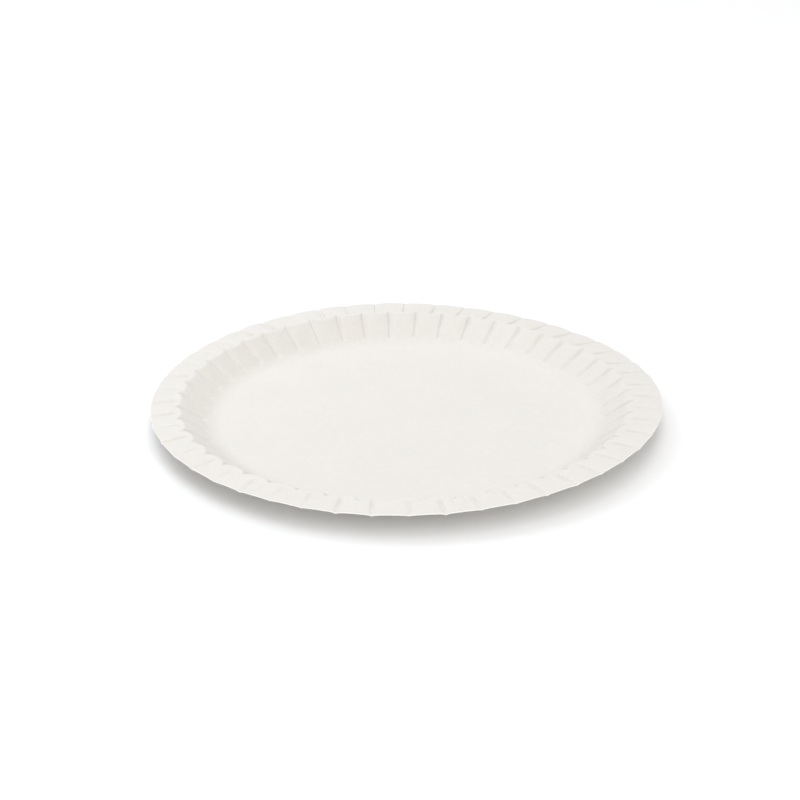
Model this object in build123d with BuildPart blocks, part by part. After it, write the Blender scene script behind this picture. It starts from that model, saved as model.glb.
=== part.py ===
from build123d import *
import math
import os

# A pressed paper plate: one round sheet of board with a flat floor, a coved foot, a sloping wall and a
# nearly level rim. Pleats take up the spare board. A valley runs up the wall and dies out in the rim, and
# midway between each two of these a shallower valley, the crease, crosses the rim.
#
# Millimetres and degrees. The origin is the middle of the underside, which stands on the table, +Z is up,
# and +X runs along the middle of a wall pleat.

# Driving dimensions of the plain plate, before pleating
plate_radius = 115.0  # to the cut edge
board = 0.5  # thickness of the pressed board
rim_height = 10.3  # upper face of the rim at the cut edge, above the table
rim_width = 14.5  # from the cut edge in to the fold at the top of the wall
rim_rise = 0.6  # how much higher the fold stands than the cut edge
wall_slope = 37.0  # of the wall, from the level
cove_radius = 14.0  # upper face, from the floor into the wall
fold_radius = 1.5  # upper face, from the wall into the rim

# Driving dimensions of the pleats
pleat_count = 48
pleat_reach = 2.9  # how far past the fold the wall pleat's tip runs into the rim
pleat_half_width = 2.2  # at the fold
pleat_foot_depth = 0.25  # at the foot of the wall, where the pleat begins
pleat_foot_length = 1.2  # in which it comes back up past the face at its foot
crease_depth = 0.9  # of the rim's valley at its deepest
crease_half_width = 1.75  # there
crease_run_in = 5.0  # from the fold out to the deepest point
crease_edge_depth = 0.35  # where the crease leaves the rim at the cut edge

# How far blocks and cutters run past each other, so that no two of their faces coincide
clearance = 1.0
cutter_height = 6.0

# The upper face's two corners before they are rounded, as radius and height, and the top of the cove
wall_rise = math.tan(math.radians(wall_slope))
rim_fall = rim_rise / rim_width
fold_corner = (plate_radius - rim_width, rim_height + rim_rise)
floor_corner = (fold_corner[0] - (fold_corner[1] - board) / wall_rise, board)
cove_length = cove_radius * math.tan(math.radians(wall_slope / 2))
wall_foot = floor_corner[0] + cove_length * math.cos(math.radians(wall_slope))


def wall_face(radius):
    """Height of the wall's upper face at a radius."""
    return fold_corner[1] - (fold_corner[0] - radius) * wall_rise


def rim_face(radius):
    """Height of the rim's upper face at a radius."""
    return rim_height + (plate_radius - radius) * rim_fall


# The lowest line of a wall pleat, as radii and heights: up out of the face at its foot, along the wall a
# little deeper at every step, and out through the rim at its tip
pleat_tip = fold_corner[0] + pleat_reach
pleat_foot_height = wall_face(wall_foot) - pleat_foot_depth
pleat_rise = (rim_face(pleat_tip) - pleat_foot_height) / (pleat_tip - wall_foot)
pleat_depth = fold_corner[1] - pleat_foot_height - (fold_corner[0] - wall_foot) * pleat_rise
pleat_line = [
    (wall_foot - pleat_foot_length, wall_face(wall_foot) + clearance),
    (wall_foot, pleat_foot_height),
    (pleat_tip + clearance, rim_face(pleat_tip) + clearance * pleat_rise),
]

# The lowest line of a rim crease: level with the face at the fold, deepest a third of the way across, and
# shallower again at the cut edge
crease_low = fold_corner[0] + crease_run_in
crease_rise = (crease_depth - crease_edge_depth) / (plate_radius - crease_low)
crease_end = plate_radius + 3 * clearance
crease_line = [
    (fold_corner[0] - clearance, fold_corner[1] + crease_depth * clearance / crease_run_in),
    (crease_low, rim_face(crease_low) - crease_depth),
    (crease_end, rim_face(crease_end) - crease_depth + (crease_end - crease_low) * crease_rise),
]


def valley(line, half_width, depth, drop):
    """A V-shaped cutter along +X with its lowest edge on `line`, `half_width` to each side `depth` above it.

    It is lowered until its flanks lie `drop` below where they were, measured square to themselves.
    """
    flank = depth / half_width
    (near_radius, near_height), (far_radius, far_height) = line[-2:]
    rise = (far_height - near_height) / (far_radius - near_radius)
    lowered = drop * math.sqrt(1 + rise**2 + flank**2)
    half_top = cutter_height / flank
    with BuildPart() as cutter:
        for radius, height in line:
            lowest = height - lowered
            top = lowest + cutter_height
            with BuildSketch(Plane.YZ.offset(radius)):
                with BuildLine():
                    Polyline((0, lowest), (half_top, top), (-half_top, top), close=True)
                make_face()
        loft(ruled=True)
    return cutter.part


def pressing_block(drop, outer_radius, base):
    """Everything between height `base` and the plate's upper face lowered by `drop` square to itself."""
    rim_angle = math.atan(rim_fall)
    fold_shift = drop * math.tan((math.radians(wall_slope) + rim_angle) / 2)
    fold_x = fold_corner[0] + fold_shift * math.cos(rim_angle) - drop * math.sin(rim_angle)
    fold_z = fold_corner[1] - fold_shift * math.sin(rim_angle) - drop * math.cos(rim_angle)
    floor_x = floor_corner[0] + drop * math.tan(math.radians(wall_slope / 2))
    with BuildPart() as block:
        with BuildSketch(Plane.XZ):
            with BuildLine():
                face = FilletPolyline(
                    (0, board - drop),
                    (floor_x, board - drop),
                    (fold_x, fold_z),
                    (outer_radius, fold_z - (outer_radius - fold_x) * rim_fall),
                    radius=[cove_radius + drop, fold_radius - drop],
                )
                Polyline(face @ 1, (outer_radius, base), (0, base), face @ 0)
            make_face()
        revolve(axis=Axis.Z)
        with PolarLocations(0, pleat_count):
            add(valley(pleat_line, pleat_half_width, pleat_depth, drop), mode=Mode.SUBTRACT)
        with PolarLocations(0, pleat_count, start_angle=180 / pleat_count):
            add(valley(crease_line, crease_half_width, crease_depth, drop), mode=Mode.SUBTRACT)
    return block.part


# The sheet is what lies between its upper face and that face lowered by the board's thickness. The lower
# block reaches past the upper one at the rim and below, which leaves the cut edge square.
with BuildPart() as plate:
    add(pressing_block(0, plate_radius, -clearance))
    add(pressing_block(board, plate_radius + clearance, -2 * clearance), mode=Mode.SUBTRACT)
plate.part.label = "plate"

os.makedirs("parts", exist_ok=True)
export_step(plate.part, "parts/plate.step")
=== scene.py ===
import math
import random

import bmesh
import bpy
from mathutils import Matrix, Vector


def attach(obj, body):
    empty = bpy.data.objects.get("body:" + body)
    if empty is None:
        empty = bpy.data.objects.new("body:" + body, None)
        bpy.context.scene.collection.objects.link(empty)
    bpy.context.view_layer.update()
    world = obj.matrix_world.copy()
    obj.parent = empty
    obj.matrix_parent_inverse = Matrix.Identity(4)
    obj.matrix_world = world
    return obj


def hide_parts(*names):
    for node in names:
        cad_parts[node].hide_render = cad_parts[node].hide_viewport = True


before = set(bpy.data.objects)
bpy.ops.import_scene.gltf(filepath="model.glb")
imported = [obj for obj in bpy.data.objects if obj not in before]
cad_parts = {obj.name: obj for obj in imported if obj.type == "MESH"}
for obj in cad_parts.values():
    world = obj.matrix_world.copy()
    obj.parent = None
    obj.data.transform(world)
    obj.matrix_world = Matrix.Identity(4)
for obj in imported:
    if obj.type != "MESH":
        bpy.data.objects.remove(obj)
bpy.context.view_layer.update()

# ---------------------------------------------------------------------------------------------------
# Camera. It looks down on the plate at about 24 degrees from a metre away with a long lens, and stands
# a little to the right of the line of a groove.
orbit, elevation = math.radians(2.8), math.radians(24.15)
stand_off = 1.0
along_floor = math.cos(elevation) * stand_off
aim = Vector((0, 0, 0.0103))
lens_data = bpy.data.cameras.new("camera")
lens_data.sensor_width = 36
lens_data.lens = 99.6
lens_data.shift_x = -0.0088
lens_data.shift_y = -0.0025
camera = bpy.data.objects.new("camera", lens_data)
camera.location = aim + Vector(
    (math.sin(orbit) * along_floor, -math.cos(orbit) * along_floor, math.sin(elevation) * stand_off)
)
camera.rotation_euler = (math.pi / 2 - elevation, 0, orbit)
bpy.context.collection.objects.link(camera)
bpy.context.scene.camera = camera

# ---------------------------------------------------------------------------------------------------
# The sheet. The real plate is one round blank of white board, pressed hot between a punch and a die:
# a flat floor, a coved foot, a sloping wall and a rim that lies nearly level. It is shaped here as its
# upper face alone, ring by ring from the floor out. All sizes are in millimetres.
MM = 0.001
PLEATS = 48
half_pitch = 180 / PLEATS
board = 0.5
floor_edge, cove_radius, wall_slope = 82.0, 14.0, math.radians(37)
# The wall turns over at the radius of the fold. From there the rim falls by rim_rise to its outer edge.
fold, rim_rise = 100.5, 0.6
blank_edge, edge_height = 115.0, 10.3
# The blank lay a little to one side of the die, so the rim is broader at one side than at the other
off_centre = -1.2

# Columns of half a pleat, in degrees from the middle of a wall groove to the middle of a rim crease
columns = [0, 0.25, 0.55, 0.9, 1.25, 1.7, 2.3, 2.85, 3.2, 3.42, 3.6, half_pitch]
last = len(columns) - 1
per_pleat = 2 * last
cove_steps = 8
floor_radii = (30, 55, 72, 79, floor_edge)
wall_radii = (91.2, 92.2, 93.3, 94.4, 95.5, 96.6, 97.6, 98.5, 99.3, 100)
inner_rim_radii = (fold, 101, 101.5, 102, 102.6, 103.2, 103.8, 104.5, 105.3)
outer_rim_radii = (106.3, 107.5, 108.8, 110.2, 111.6, 112.9, 114.1, blank_edge)


def wall_height(radius):
    return edge_height + rim_rise - (fold - radius) * math.tan(wall_slope)


def rim_height(radius):
    return edge_height + rim_rise * (blank_edge - radius) / (blank_edge - fold)


def centre(radius):
    """How far to the side the middle of this ring is."""
    return off_centre * min(1, (blank_edge - radius) / (blank_edge - fold))


stations = [(radius, board) for radius in floor_radii]
for step in range(1, cove_steps + 1):
    turn = wall_slope * step / cove_steps
    rise = cove_radius * (1 - math.cos(turn))
    stations.append((floor_edge + cove_radius * math.sin(turn), board + rise))
foot = stations[-1][0]
stations += [(radius, wall_height(radius)) for radius in wall_radii]
stations += [(radius, rim_height(radius)) for radius in inner_rim_radii + outer_rim_radii]
radii = [radius for radius, height in stations]

bpy.ops.object.select_all(action="DESELECT")
bpy.ops.mesh.primitive_circle_add(
    vertices=per_pleat * PLEATS,
    radius=radii[0] * MM,
    fill_type="NGON",
    location=(off_centre * MM, 0, board * MM),
)
plate = bpy.context.object
plate.name = "pressed_plate"
bpy.ops.object.transform_apply()
bpy.ops.object.mode_set(mode="EDIT")
bpy.ops.mesh.select_mode(type="VERT")


def pick(indices):
    """Selects these vertices of the mesh being edited, and nothing else."""
    bpy.ops.mesh.select_all(action="DESELECT")
    mesh = bmesh.from_edit_mesh(plate.data)
    mesh.verts.ensure_lookup_table()
    for index in indices:
        mesh.verts[index].select = True
    mesh.select_flush_mode()
    bmesh.update_edit_mesh(plate.data)


def picked_in_turn(radius):
    """The selected vertices in order round the ring, from the middle of a groove on."""
    mesh = bmesh.from_edit_mesh(plate.data)
    middle = centre(radius) * MM
    # Keeps the first one from falling just short of a whole turn
    margin = 0.01
    turns = []
    for vertex in mesh.verts:
        if vertex.select:
            turn = math.degrees(math.atan2(vertex.co.y, vertex.co.x - middle))
            turns.append(((turn + margin) % 360, vertex.index))
    return [index for turn, index in sorted(turns)]


# The first ring's points move round so that more of them stand where the board folds. Then each ring is
# the one inside it, extruded, spread and lifted.
bpy.ops.mesh.select_all(action="SELECT")
rings = [picked_in_turn(radii[0])]
even = half_pitch / last
for i in range(1, last):
    for place, way in ((i, 1), (per_pleat - i, -1)):
        pick(rings[0][place::per_pleat])
        bpy.ops.transform.rotate(
            value=-math.radians(columns[i] - i * even) * way,
            orient_axis="Z",
            center_override=(off_centre * MM, 0, 0),
        )
pick(rings[0])
bpy.ops.mesh.select_mode(type="EDGE")
bpy.ops.mesh.select_all(action="SELECT")
bpy.ops.mesh.region_to_loop()
for (near, low), (far, high) in zip(stations, stations[1:]):
    bpy.ops.mesh.extrude_edges_move()
    grow = far / near
    bpy.ops.transform.resize(value=(grow, grow, 1), center_override=(centre(near) * MM, 0, 0))
    bpy.ops.transform.translate(value=((centre(far) - centre(near)) * MM, 0, (high - low) * MM))
    rings.append(picked_in_turn(far))
bpy.ops.mesh.select_mode(type="VERT")

# ---------------------------------------------------------------------------------------------------
# The pleats. The die folds the wall down in 48 grooves, which take up the board that is too much for
# the smaller circle, and the rim folds down in 48 creases midway between them. The board swells a
# little between its folds.
groove_foot, groove_top = 0.6, 1.2
groove_start, groove_full = foot - 1.1, foot + 0.4
wall_swell, rim_swell = 1.25, 0.35
# At its foot each groove ends in a small dimple, which is gone at this radius
dimple, dimple_full, dimple_gone = 0.45, foot + 0.5, 93.5
# A crease starts outside the fold and is full a little further out. From the middle of the rim on, where
# the swell is full, the crease fades, and most of its depth is lost at the cut edge.
crease_depth, crease_lost = 0.85, 0.7
crease_start, crease_full, rim_middle = fold + 0.8, fold + 4, 106
# The press turns every fold over the same way, so its one side is steep and its other side long
groove_steep, groove_long = 0.95, 1.9
crease_steep, crease_long = 0.7, 1.4
# The board turns over into the rim in a small curve, which takes this much off the corner. Outside the
# fold, the planes of wall and rim part by the wall's slope and the rim's fall together.
corner_round, rim_fall = 0.36, 0.04
least_drop = 0.005


def ramp(value, low, high):
    """0 up to low, 1 from high on, and an even slope between."""
    return min(1, max(0, (value - low) / (high - low)))


def wall_drop(radius, turn):
    """How far the wall is pressed down here; turn is in degrees from the groove."""
    offset = math.radians(abs(turn)) * radius
    span = math.radians(half_pitch) * radius
    climb = ramp(radius, foot, fold)
    depth = groove_foot + (groove_top - groove_foot) * climb
    depth = depth + dimple * ramp(radius, dimple_gone, dimple_full)
    side = groove_steep if turn > 0 else groove_long
    groove = depth * ramp(radius, groove_start, groove_full) * max(0, 1 - offset / side)
    return groove + wall_swell * climb * (1 - offset / span) ** 2


def over_the_corner(gap):
    """How far below the rim's plane the board is, where the wall's plane is this far below it."""
    return 0.5 * (gap + math.hypot(gap, corner_round))


def drop(radius, turn):
    """How far the board is pressed down here, out to the edge."""
    gap = wall_drop(min(radius, fold), turn) - (radius - fold) * (math.tan(wall_slope) + rim_fall)
    if radius <= fold:
        return wall_drop(radius, turn) + over_the_corner(gap) - gap
    offset = math.radians(half_pitch - abs(turn)) * radius
    span = math.radians(half_pitch) * radius
    left = 1 - crease_lost * ramp(radius, rim_middle, blank_edge)
    crease = crease_depth * ramp(radius, crease_start, crease_full) * left
    swell = rim_swell * ramp(radius, fold, rim_middle) * (1 - offset / span) ** 2
    side = crease_long if turn > 0 else crease_steep
    return over_the_corner(gap) + crease * max(0, 1 - offset / side) + swell


for radius, ring in zip(radii, rings):
    for i, turn in enumerate(columns):
        for place, way in ((i, 1), (per_pleat - i, -1))[: 2 if 0 < i < last else 1]:
            down = drop(radius, turn * way)
            if down > least_drop:
                pick(ring[place::per_pleat])
                bpy.ops.transform.translate(value=(0, 0, -down * MM))

# No two pleats come out alike: each fold is pushed a little aside and up or down, and takes the board
# round it along.
groove_end, crease_inner, crease_outer = 103, 104, 113
random.seed(23)
wall_rings = [ring for radius, ring in zip(radii, rings) if foot < radius < groove_end]
rim_rings = [ring for radius, ring in zip(radii, rings) if crease_inner < radius < crease_outer]
for pleat in range(PLEATS):
    for fold_rings, place, aside, lift, width in (
        (wall_rings, 0, 0.22, 0.22, 3.5),
        (rim_rings, last, 0.35, 0.28, 3.0),
    ):
        line = [ring[pleat * per_pleat + place] for ring in fold_rings]
        turn = math.radians((pleat + place / per_pleat) * 2 * half_pitch)
        push = random.gauss(0, aside)
        pick(line)
        bpy.ops.transform.translate(
            value=(-math.sin(turn) * push * MM, math.cos(turn) * push * MM, random.gauss(0, lift) * MM),
            use_proportional_edit=True,
            proportional_edit_falloff="SMOOTH",
            proportional_size=width * MM,
        )

# About half of the pleats have a second, finer wrinkle beside the groove's end
wrinkles, wrinkle_width = 26, 1.3
wrinkle_start, wrinkle_ends, wrinkle_depths = 103.4, (107, 110), (0.12, 0.3)
beside_groove = (3, 4, 5, per_pleat - 5, per_pleat - 4, per_pleat - 3)
for pleat in random.sample(range(PLEATS), wrinkles):
    place = random.choice(beside_groove)
    end = random.uniform(*wrinkle_ends)
    pick(
        ring[pleat * per_pleat + place]
        for radius, ring in zip(radii, rings)
        if wrinkle_start < radius < end
    )
    bpy.ops.transform.translate(
        value=(0, 0, -random.uniform(*wrinkle_depths) * MM),
        use_proportional_edit=True,
        proportional_edit_falloff="SHARP",
        proportional_size=wrinkle_width * MM,
    )

# The board keeps a small round at every fold, from halfway up the cove on
cove_middle = len(floor_radii) + cove_steps // 2 - 1
pick(index for ring in rings[cove_middle:-1] for index in ring)
bpy.ops.mesh.vertices_smooth(factor=0.3, repeat=1)

# Round the notches the folds run aslant across the mesh, so its faces are split along them
notch_low, notch_high = 96, 105
pick(index for radius, ring in zip(radii, rings) if notch_low < radius < notch_high for index in ring)
bpy.ops.mesh.quads_convert_to_tris(quad_method="SHORTEST_DIAGONAL")
bpy.ops.mesh.select_all(action="DESELECT")
bpy.ops.object.mode_set(mode="OBJECT")

# ---------------------------------------------------------------------------------------------------
# The warp. Board springs back as it cools, so the rim doesn't lie true: it has sprung up at two opposite
# places and down between them, with a smaller wave of three round it, and it is a little uneven all
# over. The floor stays flat.
spring_start, wall_share, rim_share = 84, 0.65, 0.35
spring_height, drawn_in = 4, 0.4
wave_height, wave_cosine, wave_sine, tilt = 1.1, 0.6, -0.45, -0.3
sprung = plate.vertex_groups.new(name="sprung")
three_waves = plate.vertex_groups.new(name="three_waves")
for radius, ring in zip(radii, rings):
    give = wall_share * ramp(radius, spring_start, fold) + rim_share * ramp(radius, fold, blank_edge)
    sprung.add(ring, give, "REPLACE")
    for place, index in enumerate(ring):
        turn = math.radians(90 - 360 * place / len(ring))
        swing = wave_cosine * math.cos(3 * turn) + wave_sine * math.sin(3 * turn) + tilt * math.cos(turn)
        three_waves.add([index], give * (0.5 + 0.5 * swing / wave_height), "REPLACE")

# The two high places, in a cage whose opposite corners go up, and are drawn in as they do
bpy.ops.object.add(type="LATTICE")
cage = bpy.context.object
cage.scale = (2 * blank_edge * MM,) * 3
cage.data.points_u = cage.data.points_v = 2
cage.data.points_w = 1
for point in cage.data.points:
    side, depth = math.copysign(1, point.co.x), math.copysign(1, point.co.y)
    lift = -spring_height * side * depth / (2 * blank_edge)
    point.co_deform = point.co + Vector((-drawn_in * lift * side, -drawn_in * lift * depth, lift))
bpy.context.view_layer.objects.active = plate
warp = plate.modifiers.new("warp", "LATTICE")
warp.object = cage
warp.vertex_group = "sprung"
bpy.ops.object.modifier_apply(modifier=warp.name)
bpy.data.objects.remove(cage)

# The three waves, whose weights run up from their troughs, and the small unevenness
for group, height in (("three_waves", 2 * wave_height), ("sprung", -wave_height)):
    wave = plate.modifiers.new("wave", "DISPLACE")
    wave.direction = "Z"
    wave.mid_level = 0
    wave.strength = height * MM
    wave.vertex_group = group
    bpy.ops.object.modifier_apply(modifier=wave.name)
for size, height in ((22, 0.5), (7, 0.16)):
    cloud = bpy.data.textures.new("unevenness", "CLOUDS")
    cloud.noise_scale = size * MM
    uneven = plate.modifiers.new("unevenness", "DISPLACE")
    uneven.texture = cloud
    uneven.texture_coords = "LOCAL"
    uneven.direction = "Z"
    uneven.strength = height * MM
    uneven.vertex_group = "sprung"
    bpy.ops.object.modifier_apply(modifier=uneven.name)

# How sharply the board is folded at each point, which the finish follows with painted shade and a
# rougher surface: full in the middle of a groove
#  or crease, and nothing this far beside it
groove_mark, crease_mark = 1.0, 0.9
mark_start, mark_full, mark_fades, mark_gone = fold + 1, fold + 3.5, 107, 113
folded = plate.data.attributes.new(name="folded", type="FLOAT", domain="POINT")
for radius, ring in zip(radii, rings):
    for i, turn in enumerate(columns):
        if foot - 1 < radius <= fold:
            sharp = max(0, 1 - math.radians(turn) * radius / groove_mark)
        else:
            sharp = max(0, 1 - math.radians(half_pitch - turn) * radius / crease_mark)
            sharp *= ramp(radius, mark_start, mark_full) * (1 - ramp(radius, mark_fades, mark_gone))
        if sharp > 0:
            for index in ring[i::per_pleat] + ring[(per_pleat - i) % per_pleat :: per_pleat]:
                folded.data[index].value = sharp

# ---------------------------------------------------------------------------------------------------
# The finish of the board: bleached wood fibre, felted into a sheet. It is cloudy where the pulp settled
# unevenly, has hair-fine fibres lying every way, and is polished by the press where it was squeezed.
# The scales are in features to the metre, and the fibres are drawn out by hair_stretch.
cloud_scale, patch_scale, grain_scale, hair_scale = 300, 38, 2600, 2200
hair_stretch, hair_turns, hair_levels = (1, 7, 1.5), (12, 71, 133), (0.56, 0.72)
# Almost all of a noise lies between these two values
faint, strong = 0.3, 0.7
fibre = bpy.data.node_groups.new("board_fibre", "ShaderNodeTree")
for name, way, kind in (
    ("Fineness", "INPUT", "NodeSocketFloat"),
    ("Shade", "OUTPUT", "NodeSocketFloat"),
    ("Roughness", "OUTPUT", "NodeSocketFloat"),
    ("Height", "OUTPUT", "NodeSocketFloat"),
):
    fibre.interface.new_socket(name=name, in_out=way, socket_type=kind)
fibre_in = fibre.nodes.new("NodeGroupInput")
fibre_out = fibre.nodes.new("NodeGroupOutput")
on_plate = fibre.nodes.new("ShaderNodeTexCoord")


def noise(scale, detail, stretch=(1, 1, 1), turned=0):
    """Noise on the plate, drawn out and turned in the plane of the sheet."""
    mapping = fibre.nodes.new("ShaderNodeMapping")
    mapping.vector_type = "TEXTURE"
    mapping.inputs["Scale"].default_value = stretch
    mapping.inputs["Rotation"].default_value = (0, 0, math.radians(turned))
    fibre.links.new(on_plate.outputs["Object"], mapping.inputs["Vector"])
    texture = fibre.nodes.new("ShaderNodeTexNoise")
    texture.inputs["Scale"].default_value = scale
    texture.inputs["Detail"].default_value = detail
    texture.inputs["Roughness"].default_value = 0.6
    fibre.links.new(mapping.outputs["Vector"], texture.inputs["Vector"])
    return texture.outputs["Fac"]


def blend(tree, operation, first, second):
    """A Math node; either side is a socket or a number."""
    node = tree.nodes.new("ShaderNodeMath")
    node.operation = operation
    for socket, value in zip(node.inputs, (first, second)):
        if isinstance(value, (int, float)):
            socket.default_value = value
        else:
            tree.links.new(value, socket)
    return node.outputs[0]


def spread(tree, value, low, high, to_low, to_high):
    """A Map Range node, which keeps within its ends."""
    node = tree.nodes.new("ShaderNodeMapRange")
    tree.links.new(value, node.inputs["Value"])
    ends = (("From Min", low), ("From Max", high), ("To Min", to_low), ("To Max", to_high))
    for name, number in ends:
        node.inputs[name].default_value = number
    return node.outputs["Result"]


cloud = noise(cloud_scale, 4)
patches = noise(patch_scale, 2)
grain = noise(grain_scale, 3)
hairs = None
for turned in hair_turns:
    strand = spread(fibre, noise(hair_scale, 2, hair_stretch, turned), *hair_levels, 0, 1)
    hairs = strand if hairs is None else blend(fibre, "MAXIMUM", hairs, strand)
# Each layer makes the board a percent or two lighter or darker
shade = blend(fibre, "ADD", spread(fibre, cloud, faint, strong, -0.015, 0.015), 1)
shade = blend(fibre, "ADD", shade, spread(fibre, patches, faint, strong, -0.01, 0.01))
shade = blend(fibre, "ADD", shade, spread(fibre, hairs, 0, 1, -0.012, 0.03))
shade = blend(fibre, "ADD", shade, spread(fibre, grain, faint, strong, -0.02, 0.02))
fibre.links.new(shade, fibre_out.inputs["Shade"])
polish = spread(fibre, cloud, faint, strong, 0.52, 0.66)
rough = blend(fibre, "ADD", polish, spread(fibre, grain, faint, strong, 0, 0.1))
fibre.links.new(rough, fibre_out.inputs["Roughness"])
height = blend(fibre, "MULTIPLY", hairs, 0.5)
height = blend(fibre, "ADD", height, blend(fibre, "MULTIPLY", cloud, 0.9))
height = blend(fibre, "ADD", height, blend(fibre, "MULTIPLY", grain, fibre_in.outputs["Fineness"]))
fibre.links.new(height, fibre_out.inputs["Height"])

# How deep the relief of the fibres is, how much painted shade darkens a fold and how much rougher a fold
# is, and the ends of the shade
relief = 0.06
fold_painted_shade, fold_rougher = 0.012, 0.15
darkest, lightest = 0.9, 1.05


def board_finish(name, light, dark, fineness):
    """A board material, with painted shade in its folds: its two end colours, and how much its grain
    stands out.
    """
    material = bpy.data.materials.new(name)
    material.use_nodes = True
    tree = material.node_tree
    shader = tree.nodes["Principled BSDF"]
    effect = tree.nodes.new("ShaderNodeGroup")
    effect.node_tree = fibre
    effect.inputs["Fineness"].default_value = fineness
    crease = tree.nodes.new("ShaderNodeAttribute")
    crease.attribute_name = "folded"
    colour = tree.nodes.new("ShaderNodeMix")
    colour.data_type = "RGBA"
    colour.inputs["A"].default_value = (*dark, 1)
    colour.inputs["B"].default_value = (*light, 1)
    # Painted shade: the board is drawn a little darker along the middle of each fold, where less light
    # reaches in
    painted_shade = spread(tree, crease.outputs["Fac"], 0, 1, 0, fold_painted_shade)
    shade = blend(tree, "SUBTRACT", effect.outputs["Shade"], painted_shade)
    tree.links.new(spread(tree, shade, darkest, lightest, 0, 1), colour.inputs["Factor"])
    tree.links.new(colour.outputs["Result"], shader.inputs["Base Color"])
    rougher = spread(tree, crease.outputs["Fac"], 0, 1, 0, fold_rougher)
    rough = blend(tree, "ADD", effect.outputs["Roughness"], rougher)
    tree.links.new(rough, shader.inputs["Roughness"])
    shader.inputs["Specular IOR Level"].default_value = 0.35
    shader.inputs["Sheen Weight"].default_value = 0.05
    shader.inputs["Sheen Roughness"].default_value = 0.6
    bump = tree.nodes.new("ShaderNodeBump")
    bump.inputs["Strength"].default_value = 0.5
    bump.inputs["Distance"].default_value = relief * MM
    tree.links.new(effect.outputs["Height"], bump.inputs["Height"])
    tree.links.new(bump.outputs["Normal"], shader.inputs["Normal"])
    return material


# The faces have been pressed smooth. The cut edge shows the raw fibre, and its colour is lighter still
# as a painted highlight along the edge
pressed_light, pressed_dark = (0.813, 0.786, 0.741), (0.70, 0.676, 0.636)
edge_fibre_and_highlight_light, edge_fibre_and_highlight_dark = (0.96, 0.955, 0.94), (0.86, 0.85, 0.82)
plate.data.materials.append(board_finish("white_board", pressed_light, pressed_dark, 0.35))
plate.data.materials.append(board_finish("cut_edge", edge_fibre_and_highlight_light, edge_fibre_and_highlight_dark, 1.0))
CUT_EDGE = 1

# The board's own thickness goes on underneath, and the cut edge loses its sharpness
edge_round, sharpest_fold = 0.17, 85
thick = plate.modifiers.new("thickness", "SOLIDIFY")
thick.thickness = board * MM
thick.offset = -1
thick.use_even_offset = True
thick.material_offset_rim = CUT_EDGE
bpy.ops.object.modifier_apply(modifier=thick.name)
bpy.ops.object.mode_set(mode="EDIT")
bpy.ops.mesh.select_all(action="DESELECT")
bpy.ops.mesh.select_mode(type="FACE")
plate.active_material_index = CUT_EDGE
bpy.ops.object.material_slot_select()
bpy.ops.mesh.region_to_loop()
bpy.ops.mesh.bevel(offset=edge_round * MM, segments=3, affect="EDGES", material=CUT_EDGE)
bpy.ops.object.mode_set(mode="OBJECT")
bpy.ops.object.shade_smooth_by_angle(angle=math.radians(sharpest_fold))
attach(plate, "root")
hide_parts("plate")

# ---------------------------------------------------------------------------------------------------
# The table is a plain, matt white surface. The light is a white studio's: an even room, soft light from
# overhead, low in front and behind, and two broad lamps high up, at the back left and in front.
table_size, table_gap, table_white = 14, 0.0001, 0.975
bpy.ops.object.select_all(action="DESELECT")
bpy.ops.mesh.primitive_plane_add(size=table_size, location=(0, 0, -table_gap))
table = bpy.context.object
table.name = "table"
bpy.ops.object.transform_apply()
white_table = bpy.data.materials.new("white_table")
white_table.use_nodes = True
shader = white_table.node_tree.nodes["Principled BSDF"]
shader.inputs["Base Color"].default_value = (table_white, table_white, table_white, 1)
shader.inputs["Roughness"].default_value = 1
shader.inputs["Specular IOR Level"].default_value = 0
table.data.materials.append(white_table)

world = bpy.data.worlds.new("room")
bpy.context.scene.world = world
world.use_nodes = True
room = world.node_tree.nodes["Background"]
room.inputs["Color"].default_value = (1, 1, 1, 1)
room.inputs["Strength"].default_value = 0.53

# The soft lights, with their strength and where they are: turned from the right, and up, in degrees
softness = 40
for name, energy, turned, up in (
    ("overhead", 0.5, 0, 90),
    ("front_low", 0.42, 270, 20),
    ("behind", 0.49, 90, 45),
):
    sun = bpy.data.lights.new(name, "SUN")
    sun.energy = energy
    sun.angle = math.radians(softness)
    lamp = bpy.data.objects.new(name, sun)
    lamp.rotation_euler = (math.radians(90 - up), 0, math.radians(turned + 90))
    bpy.context.collection.objects.link(lamp)

# The broad lamps, with their power, breadth and colour, how far off they are and in which direction
for name, power, breadth, colour, away, toward in (
    ("softbox", 2.2, 0.63, (0.95, 1, 1.08), 1.0, (-0.57, 0.4, 0.707)),
    ("front_high", 21.6, 2.1, (1, 1, 1), 3.0, (0.18, -0.68, 0.707)),
):
    area = bpy.data.lights.new(name, "AREA")
    area.energy = power
    area.size = breadth
    area.color = colour
    lamp = bpy.data.objects.new(name, area)
    lamp.location = Vector(toward).normalized() * away
    lamp.rotation_euler = Vector(toward).to_track_quat("Z", "Y").to_euler()
    bpy.context.collection.objects.link(lamp)
bpy.context.scene.view_settings.view_transform = "Standard"
